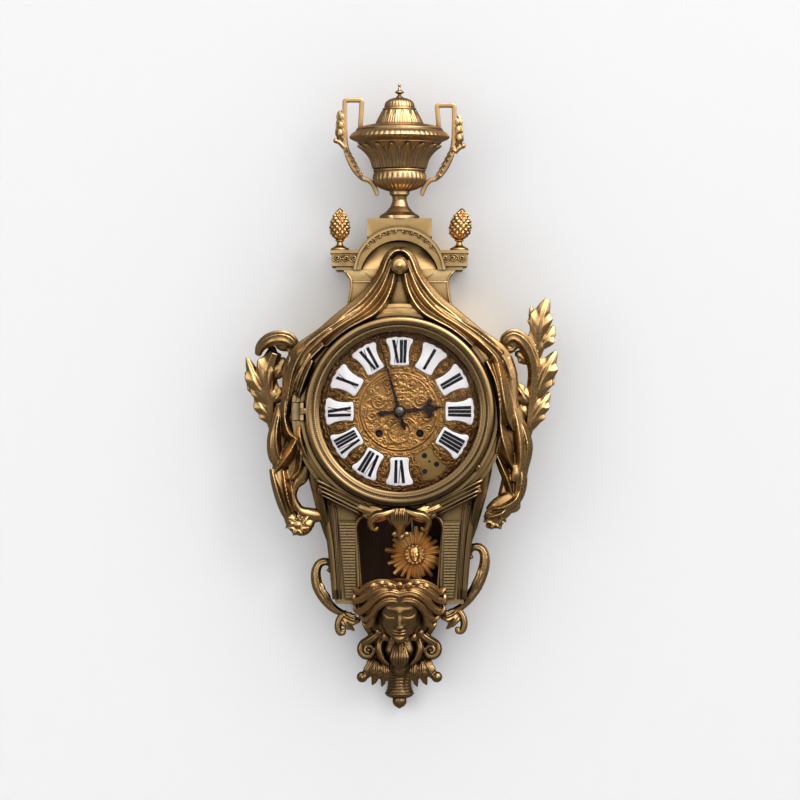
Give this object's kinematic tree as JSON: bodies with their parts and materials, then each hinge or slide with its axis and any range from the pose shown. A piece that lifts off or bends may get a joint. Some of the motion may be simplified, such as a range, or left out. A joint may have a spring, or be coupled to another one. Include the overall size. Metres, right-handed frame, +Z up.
{
  "type": "cartel wall clock",
  "caption": "Gilt bronze cartel wall clock with urn, draped case, enamel-plaque dial behind a hinged bezel, striking movement and sunburst pendulum.",
  "frame": {"origin": "centre of the hanging hole, on the wall plane at the back of the iron bar", "axes": "+X to the right seen from the front, +Y into the wall, +Z up"},
  "size_m": [0.3628, 0.1159, 0.7267],
  "materials": {
    "gilt_bronze": "antique gilt",
    "olive_bronze": "satin",
    "copper_gilt": "satin",
    "dark_bronze": "patinated",
    "dial_gilt": "matt gilt",
    "bright_gilt": "polished gilt",
    "enamel": "gloss",
    "blued_steel": "satin",
    "steel": "satin",
    "brass": "satin",
    "iron": "rough",
    "wood": "waxed",
    "glass": "clear"
  },
  "bodies": {
    "case": {"case_body": "gilt_bronze", "urn_foot": "gilt_bronze", "urn_body": "gilt_bronze", "urn_lid": "gilt_bronze", "urn_finial": "gilt_bronze", "urn_handle_left": "gilt_bronze", "urn_handle_right": "gilt_bronze", "drapery_knob": "gilt_bronze", "drapery_left": "gilt_bronze", "drapery_right": "gilt_bronze", "acanthus_left": "gilt_bronze", "acanthus_right": "gilt_bronze", "fluted_panel_left": "gilt_bronze", "fluted_panel_right": "gilt_bronze", "shell_mount": "gilt_bronze", "scroll_leaf_left": "gilt_bronze", "scroll_leaf_right": "gilt_bronze", "hinge_bracket": "gilt_bronze", "pediment": "olive_bronze", "pine_cone_left": "copper_gilt", "pine_cone_right": "copper_gilt", "mask_head": "dark_bronze", "pendant": "dark_bronze", "dial_plate": "dial_gilt", "numeral_plaques": "enamel", "hinge_pin": "steel", "movement_screws": "steel", "case_screws": "brass", "front_plate": "brass", "back_plate": "brass", "plate_pillars": "brass", "movement_straps": "brass", "suspension_cock": "brass", "bell": "brass", "bell_stand": "brass", "hanging_bar": "iron", "backboard": "wood"},
    "bezel": {"bezel_ring": "gilt_bronze", "bezel_glass": "glass"},
    "centre": {"centre_wheel": "brass", "cannon_pinion": "brass", "minute_hand": "blued_steel", "hand_nut": "steel"},
    "hour": {"hour_wheel": "brass", "hour_hand": "blued_steel"},
    "minute_wheel": {"minute_wheel": "brass"},
    "going_barrel": {"going_barrel": "brass"},
    "going_second": {"going_second_wheel": "brass"},
    "third": {"third_wheel": "brass"},
    "escape": {"escape_wheel": "brass"},
    "strike_barrel": {"strike_barrel": "brass"},
    "strike_second": {"strike_second_wheel": "brass"},
    "pin_wheel": {"pin_wheel": "brass"},
    "locking": {"locking_wheel": "brass"},
    "fly": {"fly": "brass"},
    "hammer": {"hammer": "steel"},
    "anchor": {"anchor": "steel"},
    "pendulum": {"pendulum_rod": "steel", "sunburst_bob": "bright_gilt"}
  },
  "joints": [
    {"name": "bezel_hinge", "type": "hinge", "parent": "case", "child": "bezel", "pos_m": [-0.112, -0.0985, -0.174], "axis": [0, 0, -1], "range_deg": [0, 95]},
    {"name": "minute_hand_turn", "type": "hinge", "parent": "case", "child": "centre", "pos_m": [0, -0.06, -0.174], "axis": [0, -1, 0], "continuous": true},
    {"name": "hour_hand_turn", "type": "hinge", "parent": "case", "child": "hour", "pos_m": [0, -0.06, -0.174], "axis": [0, -1, 0], "continuous": true},
    {"name": "minute_wheel_turn", "type": "hinge", "parent": "case", "child": "minute_wheel", "pos_m": [0, -0.06, -0.1932], "axis": [0, -1, 0], "continuous": true},
    {"name": "going_barrel_turn", "type": "hinge", "parent": "case", "child": "going_barrel", "pos_m": [0.0234, -0.06, -0.1993], "axis": [0, -1, 0], "continuous": true},
    {"name": "going_second_turn", "type": "hinge", "parent": "case", "child": "going_second", "pos_m": [0.01616, -0.06, -0.17516], "axis": [0, -1, 0], "continuous": true},
    {"name": "third_wheel_turn", "type": "hinge", "parent": "case", "child": "third", "pos_m": [0.00862, -0.06, -0.16071], "axis": [0, -1, 0], "continuous": true},
    {"name": "escape_wheel_turn", "type": "hinge", "parent": "case", "child": "escape", "pos_m": [0, -0.06, -0.148], "axis": [0, -1, 0], "continuous": true},
    {"name": "strike_barrel_turn", "type": "hinge", "parent": "case", "child": "strike_barrel", "pos_m": [-0.0234, -0.06, -0.1993], "axis": [0, -1, 0], "continuous": true},
    {"name": "strike_second_turn", "type": "hinge", "parent": "case", "child": "strike_second", "pos_m": [-0.01616, -0.06, -0.17516], "axis": [0, -1, 0], "continuous": true},
    {"name": "pin_wheel_turn", "type": "hinge", "parent": "case", "child": "pin_wheel", "pos_m": [-0.02401, -0.06, -0.16099], "axis": [0, -1, 0], "continuous": true},
    {"name": "locking_wheel_turn", "type": "hinge", "parent": "case", "child": "locking", "pos_m": [-0.01705, -0.06, -0.15006], "axis": [0, -1, 0], "continuous": true},
    {"name": "fly_turn", "type": "hinge", "parent": "case", "child": "fly", "pos_m": [-0.01405, -0.06, -0.14027], "axis": [0, -1, 0], "continuous": true},
    {"name": "hammer_swing", "type": "hinge", "parent": "case", "child": "hammer", "pos_m": [-0.038, -0.06, -0.152], "axis": [0, -1, 0], "range_deg": [0, 20]},
    {"name": "pendulum_swing", "type": "hinge", "parent": "case", "child": "pendulum", "pos_m": [0, -0.036, -0.133], "axis": [0, 1, 0], "range_deg": [-0.5, 10.2]},
    {"name": "anchor_rock", "type": "hinge", "parent": "case", "child": "anchor", "pos_m": [0, -0.06, -0.133], "axis": [0, 1, 0], "range_deg": [-0.6, 10.3]}
  ],
  "couplings": [
    {"joint": "hour_hand_turn", "follows": "minute_hand_turn", "ratio": 0.083333},
    {"joint": "minute_wheel_turn", "follows": "minute_hand_turn", "ratio": -0.33333},
    {"joint": "going_second_turn", "follows": "minute_hand_turn", "ratio": -0.2},
    {"joint": "going_barrel_turn", "follows": "minute_hand_turn", "ratio": 0.033333},
    {"joint": "third_wheel_turn", "follows": "minute_hand_turn", "ratio": -10},
    {"joint": "escape_wheel_turn", "follows": "minute_hand_turn", "ratio": 110},
    {"joint": "pin_wheel_turn", "follows": "locking_wheel_turn", "ratio": -0.125},
    {"joint": "strike_second_turn", "follows": "locking_wheel_turn", "ratio": 0.025},
    {"joint": "strike_barrel_turn", "follows": "locking_wheel_turn", "ratio": -0.0041667},
    {"joint": "fly_turn", "follows": "locking_wheel_turn", "ratio": -7},
    {"joint": "anchor_rock", "follows": "pendulum_swing", "ratio": 1}
  ]
}
